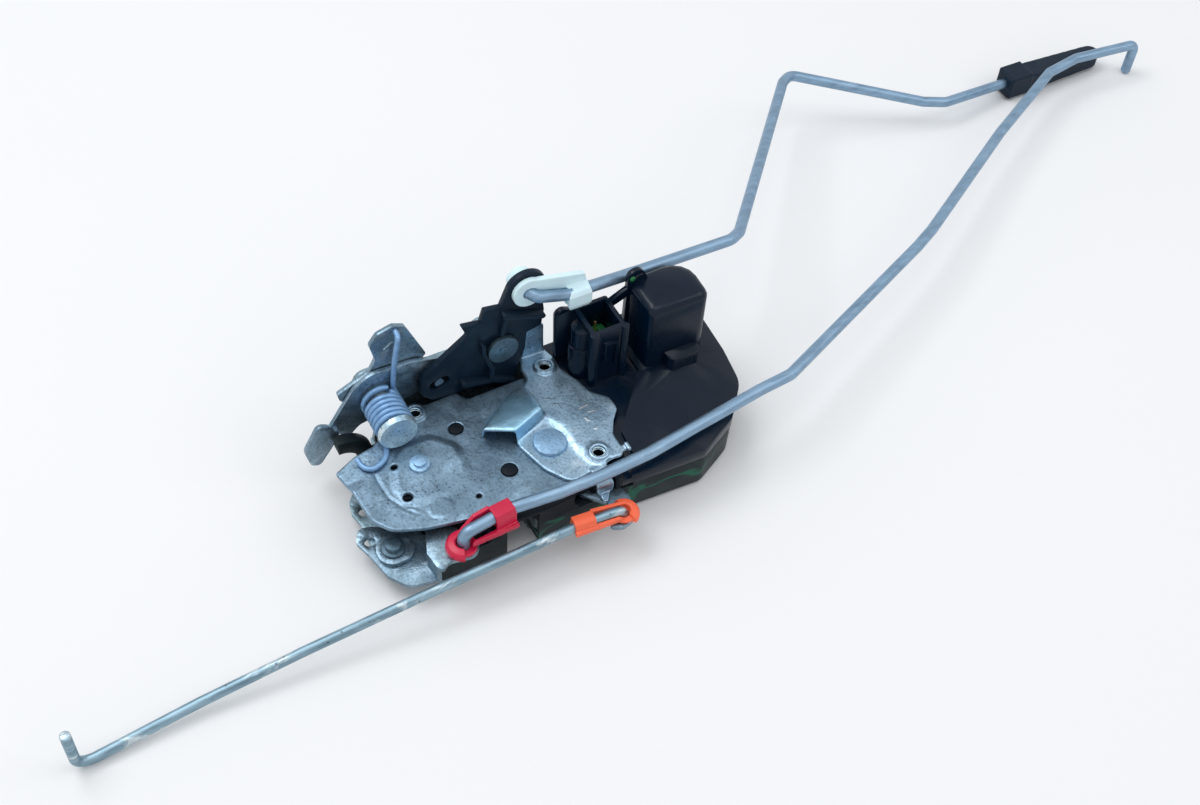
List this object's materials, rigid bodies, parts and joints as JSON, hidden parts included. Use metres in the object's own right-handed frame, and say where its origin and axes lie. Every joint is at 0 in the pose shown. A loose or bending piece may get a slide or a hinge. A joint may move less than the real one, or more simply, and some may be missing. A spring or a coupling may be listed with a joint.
{
  "type": "car door latch with rods",
  "caption": "Power car door latch with stamped plates, fork bolt, lock levers, plastic actuator with connector socket and three bent wire rods in coloured clips.",
  "frame": {"origin": "axis of the latched striker bar on the shut face, the plane of the frame plate that meets the door", "axes": "+Z from the shut face out of the back plate, +X along the latch towards the actuator and the lock knob, +Y towards the side wall that carries the lock levers"},
  "size_m": [0.5703, 0.1825, 0.0761],
  "materials": {
    "zinc_steel": "zinc-plated stamped steel, faintly pitted",
    "hard_steel": "hardened steel, oiled",
    "rod_steel": "drawn wire, blue-grey zinc",
    "case_plastic": "black moulded plastic, satin",
    "actuator_plastic": "blue-black moulded plastic, semi-gloss",
    "bumper_rubber": "soft black rubber",
    "seal_rubber": "green silicone",
    "terminal_brass": "bright brass",
    "red_plastic": "red moulded clip",
    "orange_plastic": "orange moulded clip",
    "white_plastic": "cool white moulded plastic"
  },
  "bodies": {
    "latch": {"frame_plate": "zinc_steel", "latch_case": "case_plastic", "case_lid": "case_plastic", "back_plate": "zinc_steel", "reinforcement_bracket": "zinc_steel", "fork_pivot": "zinc_steel", "pawl_pivot": "zinc_steel", "lever_post": "zinc_steel", "striker_bumper": "bumper_rubber", "actuator_case": "actuator_plastic", "actuator_cover": "actuator_plastic", "connector_seal": "seal_rubber", "connector_terminals": "terminal_brass", "release_stud": "zinc_steel", "release_spring": "rod_steel", "lock_pivot": "rod_steel", "inside_lever_pin": "zinc_steel", "lock_motor": "zinc_steel", "gear_post": "case_plastic", "fork_spring": "rod_steel", "pawl_spring": "rod_steel"},
    "fork": {"fork_bolt": "hard_steel"},
    "pawl": {"pawl": "hard_steel"},
    "link_lever": {"lock_link_lever": "zinc_steel"},
    "release_lever_body": {"release_lever": "zinc_steel", "release_spring_arm": "rod_steel"},
    "lock_lever_body": {"lock_lever": "case_plastic"},
    "lock_linkage": {"white_clip": "white_plastic", "lock_rod": "rod_steel", "lock_knob": "case_plastic"},
    "outside_lever_body": {"outside_lever": "zinc_steel", "outside_link_plate": "zinc_steel"},
    "outside_linkage": {"red_clip": "red_plastic", "outside_rod_inner": "rod_steel", "outside_rod": "rod_steel"},
    "inside_lever_body": {"inside_lever": "zinc_steel"},
    "inside_linkage": {"orange_clip": "orange_plastic", "inside_rod": "rod_steel"},
    "gear": {"drive_gear": "white_plastic"},
    "pinion": {"motor_pinion": "terminal_brass"}
  },
  "joints": [
    {"name": "fork_turn", "type": "hinge", "parent": "latch", "child": "fork", "pos_m": [0.0225, -0.0095, 0.0098], "axis": [0, 0, -1], "range_deg": [0, 45.5], "stiffness_Nm_per_rad": 0.3, "springref_deg": -22.92},
    {"name": "pawl_turn", "type": "hinge", "parent": "latch", "child": "pawl", "pos_m": [-0.0245, 0.003, 0.0098], "axis": [0, 0, 1], "range_deg": [0, 9], "stiffness_Nm_per_rad": 0.1, "springref_deg": -22.92},
    {"name": "link_turn", "type": "hinge", "parent": "latch", "child": "link_lever", "pos_m": [-0.0278, 0.033, 0.0329], "axis": [0, 1, 0], "range_deg": [-15, 0]},
    {"name": "release_turn", "type": "hinge", "parent": "latch", "child": "release_lever_body", "pos_m": [-0.0278, 0.0355, 0.0329], "axis": [0, 1, 0], "range_deg": [0, 20], "stiffness_Nm_per_rad": 0.4, "springref_deg": -28.65},
    {"name": "lock_turn", "type": "hinge", "parent": "latch", "child": "lock_lever_body", "pos_m": [0.0209, 0.03, 0.0416], "axis": [0, 1, 0], "range_deg": [0, 12]},
    {"name": "lock_rod_eye", "type": "hinge", "parent": "lock_lever_body", "child": "lock_linkage", "pos_m": [0.0312, 0.03, 0.0679], "axis": [0, 1, 0], "range_deg": [-13, 0]},
    {"name": "outside_turn", "type": "hinge", "parent": "latch", "child": "outside_lever_body", "pos_m": [-0.045, -0.0185, 0.01], "axis": [0, 0, -1], "range_deg": [0, 9]},
    {"name": "outside_rod_eye", "type": "hinge", "parent": "outside_lever_body", "child": "outside_linkage", "pos_m": [-0.0238, -0.0328, 0.017], "axis": [0, 0, -1], "range_deg": [-9, 0]},
    {"name": "inside_turn", "type": "hinge", "parent": "latch", "child": "inside_lever_body", "pos_m": [0.028, -0.0245, 0.0153], "axis": [0, 0, -1], "range_deg": [0, 17]},
    {"name": "inside_rod_eye", "type": "hinge", "parent": "inside_lever_body", "child": "inside_linkage", "pos_m": [0.0353, -0.0444, 0.0153], "axis": [0, 0, -1], "range_deg": [-17, 0]},
    {"name": "gear_turn", "type": "hinge", "parent": "latch", "child": "gear", "pos_m": [0.06759, 0.00189, 0.0105], "axis": [0, 0, 1], "range_deg": [0, 90]},
    {"name": "pinion_turn", "type": "hinge", "parent": "latch", "child": "pinion", "pos_m": [0.085, 0.0155, 0.0105], "axis": [0, 0, 1], "range_deg": [-306, 0]}
  ],
  "couplings": [
    {"joint": "link_turn", "follows": "lock_turn", "ratio": -1.23},
    {"joint": "lock_rod_eye", "follows": "lock_turn", "ratio": -1.045},
    {"joint": "outside_rod_eye", "follows": "outside_turn", "ratio": -1},
    {"joint": "inside_rod_eye", "follows": "inside_turn", "ratio": -1},
    {"joint": "pinion_turn", "follows": "gear_turn", "ratio": -3.4}
  ]
}
